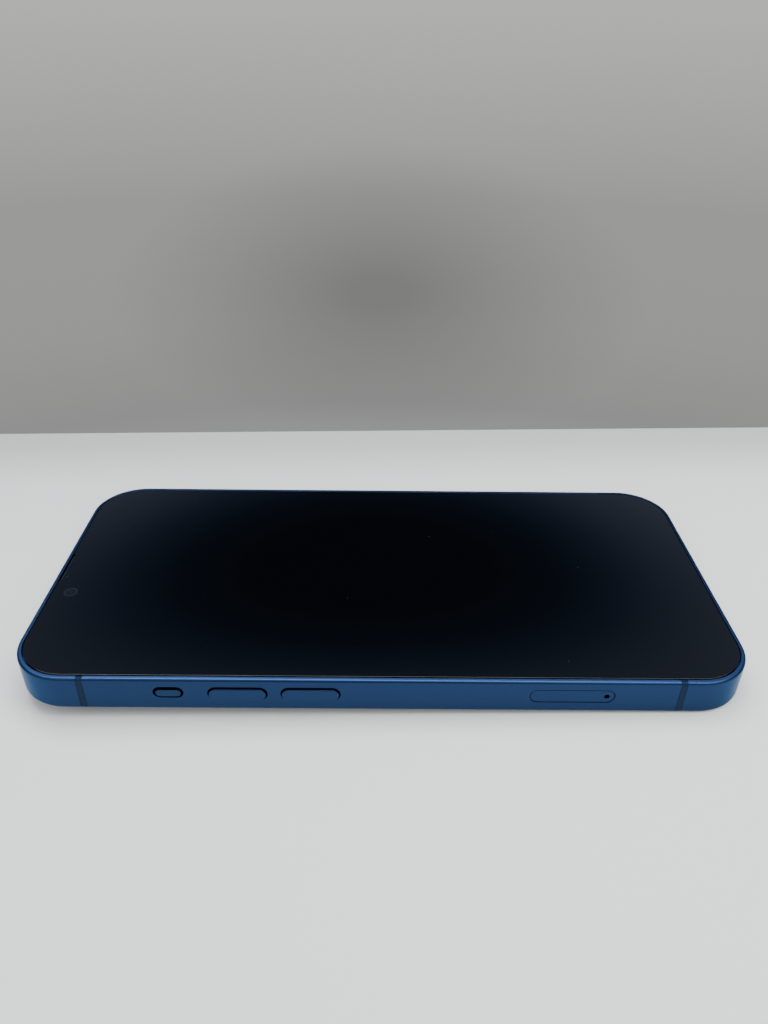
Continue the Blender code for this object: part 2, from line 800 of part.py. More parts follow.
def key_switch(name, x, side):
    """The small press switch behind a key."""
    post_in = HALF_Y - KEY_WALL - KEY_FLANGE_GAP - KEY_FLANGE - KEY_POST
    tip = side * (post_in - KEY_TRAVEL - 0.1 * MM)
    face = tip - side * SWITCH_PLUNGER
    length, depth, height = SWITCH_BODY
    back = face - side * depth
    low = (x - length / 2, min(face, back), KEY_Z - height / 2)
    high = (x + length / 2, max(face, back), KEY_Z + height / 2)
    body = block(name, low, high)
    start = (x, face - side * 0.2 * MM, KEY_Z)
    plunger = rod("join_" + name, 0.55 * MM, start, (x, tip, KEY_Z), 16, CUTTERS)
    return paint(join(body, plunger), "grey", 0.4, 0.6)


def key_bracket(name, x_range, side):
    """The metal strip that the press switches are fixed to."""
    front = side * (HALF_Y - KEY_WALL - 3.35 * MM)
    back = front - side * 0.4 * MM
    low = (x_range[0], min(front, back), KEY_Z - 1.5 * MM)
    high = (x_range[1], max(front, back), KEY_Z + 0.75 * MM)
    return paint(block(name, low, high), "steel", 0.4, 1)


def build_keys():
    key("volume_up_button", VOLUME_UP_X, VOLUME_LENGTH, -1)
    key("volume_down_button", VOLUME_DOWN_X, VOLUME_LENGTH, -1)
    key("side_button", SIDE_KEY_X, SIDE_KEY_LENGTH, 1)
    key_switch("volume_up_switch", VOLUME_UP_X, -1)
    key_switch("volume_down_switch", VOLUME_DOWN_X, -1)
    key_switch("side_switch", SIDE_KEY_X, 1)
    key_bracket("volume_bracket", (VOLUME_UP_X - 5 * MM, VOLUME_DOWN_X + 5 * MM), -1)


def build_silent_switch():
    """The tab in its slot with the plate that slides behind the wall, and the base behind both."""
    tab_face = -HALF_Y + 0.12 * MM
    plate_out = -HALF_Y + KEY_WALL + 0.15 * MM
    plate_in = plate_out + 0.45 * MM
    plate_half = (3.5 * MM, 1.35 * MM)
    tab_shape = pill(*SWITCH_TAB, (SWITCH_TAB_X, SWITCH_TAB_Z))
    tab = slab("silent_switch", [tab_shape], tab_face, plate_out + 0.2 * MM, "Y")
    round_edges(tab, 0.15 * MM, 2)
    plate = block(
        "join_silent_switch",
        (SWITCH_X - plate_half[0], plate_out, SWITCH_TAB_Z - plate_half[1]),
        (SWITCH_X + plate_half[0], plate_in, SWITCH_TAB_Z + plate_half[1]),
        CUTTERS,
    )
    join(tab, plate)
    on_axis(tab, (SWITCH_X, -HALF_Y, SWITCH_TAB_Z))
    paint(tab, "blue", 0.4, 0.9)
    base = block(
        "silent_switch_base",
        (SWITCH_X - SWITCH_POCKET_HALF + GAP, plate_in + 0.25 * MM, SWITCH_POCKET_Z[0] + 0.25 * MM),
        (SWITCH_X + SWITCH_POCKET_HALF - GAP, -HALF_Y + WALL_SIDE, SWITCH_POCKET_Z[1] - 0.15 * MM),
    )
    paint(base, "black", 0.5)


# The SIM tray, its card, the cage that guides it, and the rod and lever that push it out.


def build_tray():
    face = -HALF_Y + 0.03 * MM
    face_back = face + 1.5 * MM
    half_width = TRAY_WIDTH / 2
    low_z = TRAY_Z - TRAY_THICKNESS / 2
    high_z = TRAY_Z + TRAY_THICKNESS / 2
    face_shape = pill(TRAY_SLOT[0] - 0.24 * MM, TRAY_SLOT[1] - 0.24 * MM, (TRAY_X, TRAY_Z))
    tray = slab("sim_tray", [face_shape], face, face_back, "Y")
    round_edges(tray, 0.1 * MM, 2)
    plate = block(
        "join_sim_tray",
        (TRAY_PLATE_X - half_width, face_back - 0.3 * MM, low_z),
        (TRAY_PLATE_X + half_width, TRAY_END_Y, high_z),
        CUTTERS,
    )
    pocket = block(
        "cut_tray_pocket",
        (TRAY_PLATE_X - 4.55 * MM, TRAY_END_Y - 14.0 * MM, low_z + 0.3 * MM),
        (TRAY_PLATE_X + 4.55 * MM, TRAY_END_Y - 1.4 * MM, high_z + 1 * MM),
        CUTTERS,
    )
    window = block(
        "cut_tray_window",
        (TRAY_PLATE_X - 3.5 * MM, TRAY_END_Y - 13.0 * MM, low_z - 1 * MM),
        (TRAY_PLATE_X + 3.5 * MM, TRAY_END_Y - 2.4 * MM, high_z + 1 * MM),
        CUTTERS,
    )
    hole = rod(
        "cut_eject_hole",
        EJECT_HOLE,
        (EJECT_X, -HALF_Y - 1 * MM, TRAY_Z),
        (EJECT_X, -HALF_Y + 3 * MM, TRAY_Z),
        16,
        CUTTERS,
    )
    join(tray, plate)
    cut(tray, pocket, window, hole)
    on_axis(tray, (TRAY_X, -HALF_Y, TRAY_Z))
    paint(tray, "blue", 0.36, 0.9)
    card = block(
        "sim_card",
        (TRAY_PLATE_X - 4.4 * MM, TRAY_END_Y - 13.85 * MM, low_z + 0.35 * MM),
        (TRAY_PLATE_X + 4.4 * MM, TRAY_END_Y - 1.55 * MM, high_z),
    )
    paint(card, "white", 0.5)
    card.parent = tray
    card.matrix_parent_inverse = tray.matrix_world.inverted()


def build_tray_cage():
    """A metal cage with one channel for the tray and one for the eject rod."""
    low_y = -HALF_Y + WALL_SIDE + 0.4 * MM
    high_y = TRAY_END_Y - 0.3 * MM
    low_z = TRAY_Z - 1.0 * MM
    high_z = TRAY_Z + 0.95 * MM
    cage = block("sim_reader", (29.4 * MM, low_y, low_z), (45.4 * MM, high_y, high_z))
    channel = block(
        "cut_cage_tray",
        (TRAY_PLATE_X - TRAY_WIDTH / 2 - 0.2 * MM, low_y - 1 * MM, low_z + 0.25 * MM),
        (TRAY_PLATE_X + TRAY_WIDTH / 2 + 0.2 * MM, high_y + 1 * MM, high_z - 0.25 * MM),
        CUTTERS,
    )
    rod_channel = block(
        "cut_cage_rod",
        (EJECT_X - 0.75 * MM, low_y - 1 * MM, TRAY_Z - 0.7 * MM),
        (EJECT_X + 0.75 * MM, high_y + 1 * MM, TRAY_Z + 0.7 * MM),
        CUTTERS,
    )
    paint(cut(cage, channel, rod_channel), "steel", 0.35, 1)


def build_eject():
    pivot_x, pivot_y = LEVER_PIVOT
    rod_start = (EJECT_X, -HALF_Y + 1.9 * MM, TRAY_Z)
    rod_end = (EJECT_X, pivot_y - 1.0 * MM, TRAY_Z)
    paint(rod("eject_rod", EJECT_ROD, rod_start, rod_end, 16), "steel", 0.3, 1)
    low = TRAY_Z - LEVER_THICKNESS / 2
    high = TRAY_Z + LEVER_THICKNESS / 2
    tip_x = pivot_x - LEVER_REACH
    toe_y = pivot_y - 1.1 * MM
    lever_shape = [
        (tip_x + 0.5 * MM, toe_y),
        (tip_x + 1.3 * MM, pivot_y - LEVER_HALF),
        (EJECT_X + LEVER_HALF, pivot_y - LEVER_HALF),
        (EJECT_X + LEVER_HALF, pivot_y + LEVER_HALF),
        (tip_x, pivot_y + LEVER_HALF),
        (tip_x, toe_y),
    ]
    lever = slab("eject_lever", [lever_shape], low, high)
    bore = rod("cut_lever", LEVER_BORE, (pivot_x, pivot_y, 0), (pivot_x, pivot_y, FRONT), 16, CUTTERS)
    cut(lever, bore)
    on_axis(lever, (pivot_x, pivot_y, TRAY_Z))
    paint(lever, "steel", 0.3, 1)
    start = (pivot_x, pivot_y, BOARD_Z[1] + 0.1 * MM)
    end = (pivot_x, pivot_y, high + 0.2 * MM)
    paint(rod("eject_pivot", PIVOT_RADIUS, start, end, 12), "steel", 0.3, 1)


# The bottom end: port, screws, loudspeaker and vibration motor.


def build_port():
    """The charging socket: a drawn metal shell around a flat plastic tongue."""
    mouth = HALF_X - 0.1 * MM
    back = mouth - PORT_DEPTH
    centre = (0, MIDDLE_Z)
    shell = slab("port_shell", [pill(*PORT_SIZE, centre)], back, mouth, "X")
    inner_size = (PORT_SIZE[0] - 2 * PORT_WALL, PORT_SIZE[1] - 2 * PORT_WALL)
    room = slab("cut_port_room", [pill(*inner_size, centre)], back + 0.6 * MM, mouth + 1 * MM, "X", CUTTERS)
    paint(cut(shell, room), "steel", 0.25, 1)
    tongue = block(
        "port_tongue",
        (back + 0.7 * MM, -3.3 * MM, MIDDLE_Z - 0.35 * MM),
        (mouth - 1.3 * MM, 3.3 * MM, MIDDLE_Z + 0.35 * MM),
    )
    paint(round_edges(tongue, 0.15 * MM, 2), "black", 0.5)


def build_screws():
    """Two case screws whose heads sit in the bottom end, with a hexagon socket."""
    head_face = HALF_X - 0.35 * MM
    for label, y in (("left", -SCREW_Y), ("right", SCREW_Y)):
        name = f"bottom_screw_{label}"
        head = rod(name, 0.72 * MM, (head_face - 0.8 * MM, y, MIDDLE_Z), (head_face, y, MIDDLE_Z), 20)
        shank_start = (head_face - 4.4 * MM, y, MIDDLE_Z)
        shank_end = (head_face - 0.6 * MM, y, MIDDLE_Z)
        shank = rod("join_" + name, 0.45 * MM, shank_start, shank_end, 16, CUTTERS)
        socket_start = (head_face - 0.35 * MM, y, MIDDLE_Z)
        socket_end = (head_face + 1 * MM, y, MIDDLE_Z)
        socket = rod("cut_" + name, 0.38 * MM, socket_start, socket_end, 6, CUTTERS)
        join(head, shank)
        paint(cut(head, socket), "blue", 0.3, 0.9)


def build_loudspeaker():
    centre = (63.2 * MM, 20.0 * MM)
    low = COIL[0] + 0.1 * MM
    speaker = slab("loudspeaker", [rounded(6.0 * MM, 11.0 * MM, 5.5 * MM, centre, 8)], low, BATTERY_Z[1])
    paint(round_edges(speaker, 0.4 * MM, 2), "black", 0.5)
    behind_holes = HALF_X - WALL_END - 0.35 * MM
    first = SOUND_START - SOUND_HOLE - 0.3 * MM
    last = SOUND_START + (SPEAKER_HOLES - 1) * SOUND_PITCH + SOUND_HOLE + 0.3 * MM
    mesh_low = (behind_holes - 0.25 * MM, first, MIDDLE_Z - 1.1 * MM)
    mesh_high = (behind_holes, last, MIDDLE_Z + 1.1 * MM)
    paint(block("speaker_mesh", mesh_low, mesh_high), "grey", 0.6, 0.5)
    mic_y = -SOUND_START - SOUND_PITCH
    microphone = block(
        "bottom_microphone",
        (behind_holes - 1.6 * MM, mic_y - 2.6 * MM, BOARD_Z[0] + 0.35 * MM),
        (behind_holes, mic_y + 2.6 * MM, MIDDLE_Z + 0.9 * MM),
    )
    paint(round_edges(microphone, 0.2 * MM, 2), "gold", 0.35, 1)


def build_haptics():
    """A linear vibration motor: an open can, its lid, and the mass that slides across the phone."""
    low = (53.6 * MM, -15.0 * MM, COIL[0] + 0.3 * MM)
    high = (61.1 * MM, 7.0 * MM, BATTERY_Z[1] - 0.4 * MM)
    wall = 0.35 * MM
    inside = Vector((wall, wall, wall))
    case = block("haptic_case", low, high)
    room_high = Vector(high) - inside + Vector((0, 0, 1 * MM))
    room = block("cut_haptic_case", Vector(low) + inside, room_high, CUTTERS)
    paint(cut(case, room), "steel", 0.35, 1)
    lid_low = (low[0], low[1], high[2] + 0.1 * MM)
    paint(block("haptic_lid", lid_low, (high[0], high[1], high[2] + 0.3 * MM)), "steel", 0.35, 1)
    travel = 0.9 * MM
    margin = Vector((GAP, GAP + travel, GAP))
    mass_low = Vector(low) + inside + margin
    mass_high = Vector(high) - inside - margin
    mass_high.z = high[2] - GAP
    mass = round_edges(block("haptic_mass", mass_low, mass_high), 0.3 * MM, 2)
    paint(mass, "grey", 0.3, 1)


FRAME_TOOLS = frame_tools()
build_frame()
build_cover_glass()
build_display()
build_midplate()
build_rear_glass()
build_plateau()
build_rear_cameras()
build_camera_bracket()
build_front_sensors()
build_battery()
build_boards()
build_charging()
build_keys()
build_silent_switch()
build_tray()
build_tray_cage()
build_eject()
build_port()
build_screws()
build_loudspeaker()
build_haptics()
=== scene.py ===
"""The looks of a flat-sided smartphone in blue anodised aluminium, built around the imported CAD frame.

X runs along the phone, with the earpiece end at -X. Y runs across it, with the volume keys and the SIM tray
at -Y. Z points out of the screen. All sizes are in metres.
"""

import json
import math

import bmesh
import bpy
from mathutils import Matrix, Vector


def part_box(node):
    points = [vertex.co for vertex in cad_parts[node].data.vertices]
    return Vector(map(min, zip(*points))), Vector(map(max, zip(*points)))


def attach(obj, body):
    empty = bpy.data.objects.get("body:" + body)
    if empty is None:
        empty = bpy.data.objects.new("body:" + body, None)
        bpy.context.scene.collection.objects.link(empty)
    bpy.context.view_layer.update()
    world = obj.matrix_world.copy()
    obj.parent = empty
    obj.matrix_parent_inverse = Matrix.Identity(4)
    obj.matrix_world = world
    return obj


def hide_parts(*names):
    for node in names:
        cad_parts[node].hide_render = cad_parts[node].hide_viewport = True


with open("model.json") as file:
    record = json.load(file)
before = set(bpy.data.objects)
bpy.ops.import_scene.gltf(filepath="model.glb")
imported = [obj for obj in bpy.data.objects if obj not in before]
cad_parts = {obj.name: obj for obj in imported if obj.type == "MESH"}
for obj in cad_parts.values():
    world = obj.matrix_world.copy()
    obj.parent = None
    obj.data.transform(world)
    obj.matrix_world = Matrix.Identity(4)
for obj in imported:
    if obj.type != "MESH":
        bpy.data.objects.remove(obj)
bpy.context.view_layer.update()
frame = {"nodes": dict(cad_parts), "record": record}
NODES = frame["nodes"]

NODE_SLOT = {row["node"]: row["material_slot"] for row in frame["record"]["subparts"]}
NODE_BODY = {
    node: body for body, members in frame["record"]["behaviour"]["bodies"].items() for node in members
}

# Places read from the frame.
BACK_LOW, BACK_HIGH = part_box("rear_glass")
RING_LOW, RING_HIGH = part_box("lens_ring_wide")
SCREEN_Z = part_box("cover_glass")[1].z
BACK_Z = BACK_LOW.z

MM = 0.001

# Camera: a little over the phone's own length away, turned a little off +Y, looking down.
CAMERA_HEADING = math.radians(-0.463)
CAMERA_DROP = math.radians(32.429)
CAMERA_ROLL = math.radians(0.737)
CAMERA_X = -1.0 * MM
CAMERA_Y = -145.71 * MM
CAMERA_ABOVE_BACK = 115.88 * MM
CAMERA_CLIP_NEAR = 0.002
CAMERA_CLIP_FAR = 20.0
LENS_IN_MILLIMETRES = 27.782
SENSOR_IN_MILLIMETRES = 36.0

# Table.
TABLE_HALF = 0.62
TABLE_BACK_EDGE = 0.089
TABLE_CLEARANCE = 0.02 * MM
RING_CONTACT_INSET = 0.3 * MM
# Painted light: the table's colour runs lighter towards the right, where more light falls; the cloud on the
# right is a random tone.
TABLE_LEFT = (0.81, 0.82, 0.805)
TABLE_RIGHT_DARK = (0.87, 0.88, 0.865)
TABLE_RIGHT_LIGHT = (0.91, 0.92, 0.905)
TABLE_PAINTED_LIGHT_HALF = 120 * MM
# Painted shadow: the table's colour darkens towards its far edge, where the wall's shadow falls.
TABLE_WALL_SHADE_NEAR = -60 * MM
TABLE_WALL_SHADE_FAR = 90 * MM
TABLE_WALL_SHADE = [
    (0.0, (1, 1, 1)),
    (0.53, (0.98, 0.98, 0.98)),
    (0.77, (0.88, 0.88, 0.88)),
    (0.86, (0.70, 0.71, 0.70)),
    (0.93, (0.57, 0.59, 0.58)),
    (1.0, (0.55, 0.57, 0.56)),
]

# Lights: place, size and power.
OVERHEAD = ((0.06, 0.085, 0.7), (1.2, 0.4), 7.8)
RIM_STRIP = ((0, 0.33, 0.65), (1.0, 0.12), 6.4)

# The room, by the direction of the ray: the dark place that the screen mirrors, and the side with the camera.
DARK_PLACE = (-0.01, 0, 0.590)
DARK_PLACE_RADII = (0.37, 4.0, 0.120)
DARK_PLACE_STOPS = [
    (0.22, (0.002, 0.002, 0.002)),
    (0.34, (0.02, 0.035, 0.065)),
    (0.42, (0.06, 0.095, 0.18)),
    (0.5, (0.16, 0.20, 0.31)),
    (0.6, (0.26, 0.31, 0.44)),
    (1.0, (0.28, 0.32, 0.44)),
]
CAMERA_SIDE = (0, -0.71, 0.71)
CAMERA_SIDE_STOPS = [(0.1, (0.15, 0.16, 0.17)), (0.4, (1.42, 1.43, 1.42))]
LOW_MIRRORED = (0.16, 0.18, 0.22)
LOW_FROM = 0.2
LOW_TO = 0.5
SIDE_BLEND = 0.15

# The wall that the camera sees: a ramp by height, with a painted shadow as a soft dark patch.
WALL_STOPS = [
    (0.0, (0.33, 0.34, 0.335)),
    (0.1, (0.29, 0.295, 0.29)),
    (0.3, (0.345, 0.345, 0.335)),
    (0.6, (0.36, 0.36, 0.35)),
    (1.0, (0.56, 0.56, 0.55)),
]
WALL_FOOT = -0.46
WALL_TOP = 0.0
# A painted shadow on the wall: a soft dark patch.
WALL_SHADOW = (0.0, 0.957, -0.29)
WALL_SHADOW_RADII = (0.33, 9.0, 0.17)
WALL_SHADOW_COLOUR = (0.10, 0.10, 0.098)
WALL_SHADOW_DEPTH = 0.55

# Refined copies of the CAD nodes.
WELD_DISTANCE = 0.5e-6
FLAT_ANGLE = math.radians(0.6)
CHAMFERED_ANGLE = math.radians(50)
SHARP_ANGLE = math.radians(32)
FRAME_CHAMFER = 0.06 * MM
TRAY_CHAMFER = 0.03 * MM

# Colours and sizes of the materials.
BLUE = (0.0078, 0.0286, 0.089)
OXIDE_TINT = (0.45, 0.60, 0.80)
SCREEN_BLACK = (0.0012, 0.0016, 0.0024)
DUST = (0.16, 0.17, 0.18)
FRONT_CAMERA_REACH = 1.8 * MM
FLASH_PITCH = 0.28 * MM
FLASH_MIDDLE = 0.5 * MM
FLASH_RADIUS = 1.9 * MM
COIL_PITCH = 0.42 * MM


# Camera, floor and light.


def add_camera():
    data = bpy.data.cameras.new("camera")
    data.sensor_width = SENSOR_IN_MILLIMETRES
    data.lens = LENS_IN_MILLIMETRES
    data.clip_start = CAMERA_CLIP_NEAR
    data.clip_end = CAMERA_CLIP_FAR
    camera = bpy.data.objects.new("camera", data)
    bpy.context.scene.collection.objects.link(camera)
    level = Vector((math.cos(CAMERA_HEADING), math.sin(CAMERA_HEADING), 0))
    along = Vector((-math.sin(CAMERA_HEADING), math.cos(CAMERA_HEADING), 0))
    forward = along * math.cos(CAMERA_DROP) - Vector((0, 0, math.sin(CAMERA_DROP)))
    right = level * math.cos(CAMERA_ROLL) + level.cross(forward) * math.sin(CAMERA_ROLL)
    up = right.cross(forward)
    turn = Matrix((right, up, -forward)).transposed().to_4x4()
    place = Vector((CAMERA_X, CAMERA_Y, BACK_Z + CAMERA_ABOVE_BACK))
    camera.matrix_world = Matrix.Translation(place) @ turn
    bpy.context.scene.camera = camera


def rest_plane():
    """The surface the phone lies on: it touches the lens rings and the back edge of the bottom end.

    Returns the point under the lens rings and the table's slope along X.
    """
    ring_x = RING_HIGH.x - RING_CONTACT_INSET
    edge_x = BACK_HIGH.x
    slope = (BACK_Z - RING_LOW.z) / (edge_x - ring_x)
    return Vector((ring_x, 0, RING_LOW.z - TABLE_CLEARANCE)), slope


def add_floor():
    """A table top, tilted so that the phone rests on it."""
    point, slope = rest_plane()
    mesh = bpy.data.meshes.new("floor")
    work = bmesh.new()
    bmesh.ops.create_grid(work, x_segments=1, y_segments=1, size=TABLE_HALF)
    bmesh.ops.translate(work, verts=work.verts, vec=(0, TABLE_BACK_EDGE - TABLE_HALF, 0))
    for vert in work.verts:
        vert.co.z = point.z + (vert.co.x - point.x) * slope
    work.to_mesh(mesh)
    work.free()
    floor = bpy.data.objects.new("floor", mesh)
    bpy.context.scene.collection.objects.link(floor)
    floor.data.materials.append(floor_material())


def add_softbox(name, place, size, power, diffuse):
    """A rectangle of light that faces the origin. Without diffuse it shows in glossy surfaces only."""
    data = bpy.data.lights.new(name, "AREA")
    data.shape = "RECTANGLE"
    data.size, data.size_y = size
    data.energy = power
    light = bpy.data.objects.new(name, data)
    bpy.context.scene.collection.objects.link(light)
    light.location = place
    light.rotation_euler = (-Vector(place)).to_track_quat("-Z", "Y").to_euler()
    light.visible_camera = False
    light.visible_diffuse = diffuse


def add_lights():
    """A soft panel overhead, and a strip behind it that only gives the near rim its bright line."""
    add_softbox("overhead", *OVERHEAD, diffuse=True)
    add_softbox("rim_strip", *RIM_STRIP, diffuse=False)


def add_world():
    """A pale room with a dark place behind the phone, which the screen mirrors, and a grey wall with a
    painted shadow.
    """
    world = bpy.data.worlds.new("studio")
    world.use_nodes = True
    bpy.context.scene.world = world
    nodes = Nodes(world.node_tree)
    nodes.clear()
    ray = nodes.add("ShaderNodeTexCoord").outputs["Generated"]
    split = nodes.add("ShaderNodeSeparateXYZ")
    nodes.link(ray, split.inputs["Vector"])
    path = nodes.add("ShaderNodeLightPath")
    room = nodes.add("ShaderNodeBackground")
    nodes.link(room_colour(nodes, ray, split, path), room.inputs["Color"])
    wall = nodes.add("ShaderNodeBackground")
    nodes.link(wall_colour(nodes, ray, split), wall.inputs["Color"])
    mix = nodes.add("ShaderNodeMixShader")
    nodes.link(path.outputs["Is Camera Ray"], mix.inputs["Fac"])
    nodes.link(room.outputs[0], mix.inputs[1])
    nodes.link(wall.outputs[0], mix.inputs[2])
    out = nodes.add("ShaderNodeOutputWorld")
    nodes.link(mix.outputs[0], out.inputs["Surface"])


def room_colour(nodes, ray, split, path):
    """Dim past the phone and bright on the camera's side, where mirrored rays find it dim low down."""
    behind = nodes.ramp(nodes.reach(ray, DARK_PLACE, DARK_PLACE_RADII, 2.0), DARK_PLACE_STOPS)
    front = nodes.ramp(nodes.reach(ray, CAMERA_SIDE, (1, 1, 1), 1.0), CAMERA_SIDE_STOPS)
    low = nodes.add("ShaderNodeMath", operation="MULTIPLY")
    nodes.link(nodes.span(split.outputs["Z"], LOW_FROM, LOW_TO, 1, 0), low.inputs[0])
    nodes.link(path.outputs["Is Glossy Ray"], low.inputs[1])
    front = nodes.blend(low.outputs["Value"], front, LOW_MIRRORED)
    return nodes.blend(nodes.span(split.outputs["Y"], -SIDE_BLEND, SIDE_BLEND, 0, 1), front, behind)


def wall_colour(nodes, ray, split):
    """What the camera sees past the table: a wall with a painted shadow on it."""
    plain = nodes.ramp(nodes.span(split.outputs["Z"], WALL_FOOT, WALL_TOP, 0, 1), WALL_STOPS)
    in_wall_shadow = nodes.span(nodes.reach(ray, WALL_SHADOW, WALL_SHADOW_RADII, 1.0), 0.1, 0.95, 1, 0)
    return nodes.blend(nodes.span(in_wall_shadow, 0, 1, 0, WALL_SHADOW_DEPTH), plain, WALL_SHADOW_COLOUR)


# Node helpers.


class Nodes:
    """Short calls for building a node tree."""

    def __init__(self, tree):
        self.tree = tree

    def clear(self):
        self.tree.nodes.clear()

    def add(self, kind, **settings):
        node = self.tree.nodes.new(kind)
        for key, value in settings.items():
            setattr(node, key, value)
        return node

    def link(self, source, target):
        self.tree.links.new(source, target)

    def object_place(self):
        return self.add("ShaderNodeTexCoord").outputs["Object"]

    def noise(self, place, scale, detail=2.0, roughness=0.5, stretch=None):
        node = self.add("ShaderNodeTexNoise")
        if stretch:
            mapping = self.add("ShaderNodeMapping")
            mapping.inputs["Scale"].default_value = stretch
            self.link(place, mapping.inputs["Vector"])
            place = mapping.outputs["Vector"]
        self.link(place, node.inputs["Vector"])
        node.inputs["Scale"].default_value = scale
        node.inputs["Detail"].default_value = detail
        node.inputs["Roughness"].default_value = roughness
        return node.outputs["Fac"]

    def span(self, value, low, high, to_low, to_high):
        """Maps the range from low to high onto the range from to_low to to_high, and holds it there."""
        node = self.add("ShaderNodeMapRange")
        self.link(value, node.inputs["Value"])
        for key, number in (("From Min", low), ("From Max", high), ("To Min", to_low), ("To Max", to_high)):
            node.inputs[key].default_value = number
        return node.outputs["Result"]

    def reach(self, place, centre, radii, limit):
        """The distance from a centre, in units of the radii, as a share of the limit."""
        offset = self.add("ShaderNodeVectorMath", operation="SUBTRACT")
        self.link(place, offset.inputs[0])
        offset.inputs[1].default_value = centre
        scaled = self.add("ShaderNodeVectorMath", operation="DIVIDE")
        self.link(offset.outputs["Vector"], scaled.inputs[0])
        scaled.inputs[1].default_value = tuple(radius * limit for radius in radii)
        length = self.add("ShaderNodeVectorMath", operation="LENGTH")
        self.link(scaled.outputs["Vector"], length.inputs[0])
        return length.outputs["Value"]

    def ramp(self, value, stops):
        """A colour by value. Each stop is a place from 0 to 1 and a colour."""
        node = self.add("ShaderNodeValToRGB")
        self.link(value, node.inputs["Fac"])
        elements = node.color_ramp.elements
        while len(elements) < len(stops):
            elements.new(0.5)
        for element, (place, colour) in zip(elements, stops):
            element.position = place
            element.color = (*colour, 1)
        return node.outputs["Color"]

    def blend(self, share, first, second):
        """Mixes two colours, each a tuple or a socket."""
        node = self.add("ShaderNodeMix", data_type="RGBA")
        self.link(share, node.inputs["Factor"])
        for key, colour in (("A", first), ("B", second)):
            socket = next(s for s in node.inputs if s.name == key and s.type == "RGBA")
            if isinstance(colour, tuple):
                socket.default_value = (*colour, 1)
            else:
                self.link(colour, socket)
        return next(s for s in node.outputs if s.type == "RGBA")

    def rings(self, distance, pitch):
        """A wave of the distance from a centre, from 0 to 1, that repeats at each pitch."""
        turn = self.add("ShaderNodeMath", operation="MULTIPLY")
        self.link(distance, turn.inputs[0])
        turn.inputs[1].default_value = 2 * math.pi / pitch
        wave = self.add("ShaderNodeMath", operation="SINE")
        self.link(turn.outputs["Value"], wave.inputs[0])
        return self.span(wave.outputs["Value"], -1, 1, 0, 1)

    def bump(self, height, strength, distance):
        node = self.add("ShaderNodeBump")
        self.link(height, node.inputs["Height"])
        node.inputs["Strength"].default_value = strength
        node.inputs["Distance"].default_value = distance
        return node.outputs["Normal"]


def new_material(name):
    material = bpy.data.materials.new(name)
    material.use_nodes = True
    return material, Nodes(material.node_tree), material.node_tree.nodes["Principled BSDF"]


# Materials.


def floor_material():
    """A satin table with painted light to the right and a painted shadow where it meets the wall."""
    material, nodes, shader = new_material("pale_table")
    place = nodes.object_place()
    split = nodes.add("ShaderNodeSeparateXYZ")
    nodes.link(place, split.inputs["Vector"])
    cloud = nodes.noise(place, scale=6, detail=3)
    # Painted light: the colour runs lighter towards the right.
    along = nodes.span(split.outputs["X"], -TABLE_PAINTED_LIGHT_HALF, TABLE_PAINTED_LIGHT_HALF, 0, 1)
    plain = nodes.blend(along, TABLE_LEFT, nodes.blend(cloud, TABLE_RIGHT_DARK, TABLE_RIGHT_LIGHT))
    # Painted shadow: the colour darkens towards the far edge, where it meets the wall.
    toward_wall = nodes.span(split.outputs["Y"], TABLE_WALL_SHADE_NEAR, TABLE_WALL_SHADE_FAR, 0, 1)
    wall_shade = nodes.add("ShaderNodeMix", data_type="RGBA", blend_type="MULTIPLY")
    colours = [socket for socket in wall_shade.inputs if socket.type == "RGBA"]
    wall_shade.inputs["Factor"].default_value = 1.0
    nodes.link(plain, colours[0])
    nodes.link(nodes.ramp(toward_wall, TABLE_WALL_SHADE), colours[1])
    nodes.link(next(s for s in wall_shade.outputs if s.type == "RGBA"), shader.inputs["Base Color"])
    shader.inputs["Roughness"].default_value = 0.6
    return material


def anodised(name, base, roughness=0.29, coat=0.2):
    """Bead-blasted, dyed aluminium: a fine even grain under a thin clear oxide."""
    material, nodes, shader = new_material(name)
    place = nodes.object_place()
    grain = nodes.noise(place, scale=9000, detail=2)
    cloud = nodes.noise(place, scale=60, detail=3)
    light = tuple(c * 1.08 for c in base)
    dark = tuple(c * 0.92 for c in base)
    nodes.link(nodes.blend(cloud, dark, light), shader.inputs["Base Color"])
    nodes.link(nodes.span(grain, 0.3, 0.7, roughness - 0.04, roughness + 0.05), shader.inputs["Roughness"])
    shader.inputs["Metallic"].default_value = 1.0
    shader.inputs["Specular Tint"].default_value = (*OXIDE_TINT, 1)
    shader.inputs["Coat Weight"].default_value = coat
    shader.inputs["Coat Roughness"].default_value = 0.3
    nodes.link(nodes.bump(grain, strength=0.12, distance=0.01 * MM), shader.inputs["Normal"])
    return material


def moulded(name, base, roughness=0.5, shine=0.5):
    """Moulded plastic or foam with a fine grain; shine is its specular level."""
    material, nodes, shader = new_material(name)
    place = nodes.object_place()
    grain = nodes.noise(place, scale=5000, detail=2)
    cloud = nodes.noise(place, scale=90, detail=2)
    nodes.link(
        nodes.blend(cloud, tuple(c * 0.88 for c in base), tuple(c * 1.12 for c in base)),
        shader.inputs["Base Color"],
    )
    nodes.link(nodes.span(grain, 0.3, 0.7, roughness - 0.05, roughness + 0.06), shader.inputs["Roughness"])
    shader.inputs["Specular IOR Level"].default_value = shine
    nodes.link(nodes.bump(grain, strength=0.1, distance=0.01 * MM), shader.inputs["Normal"])
    return material


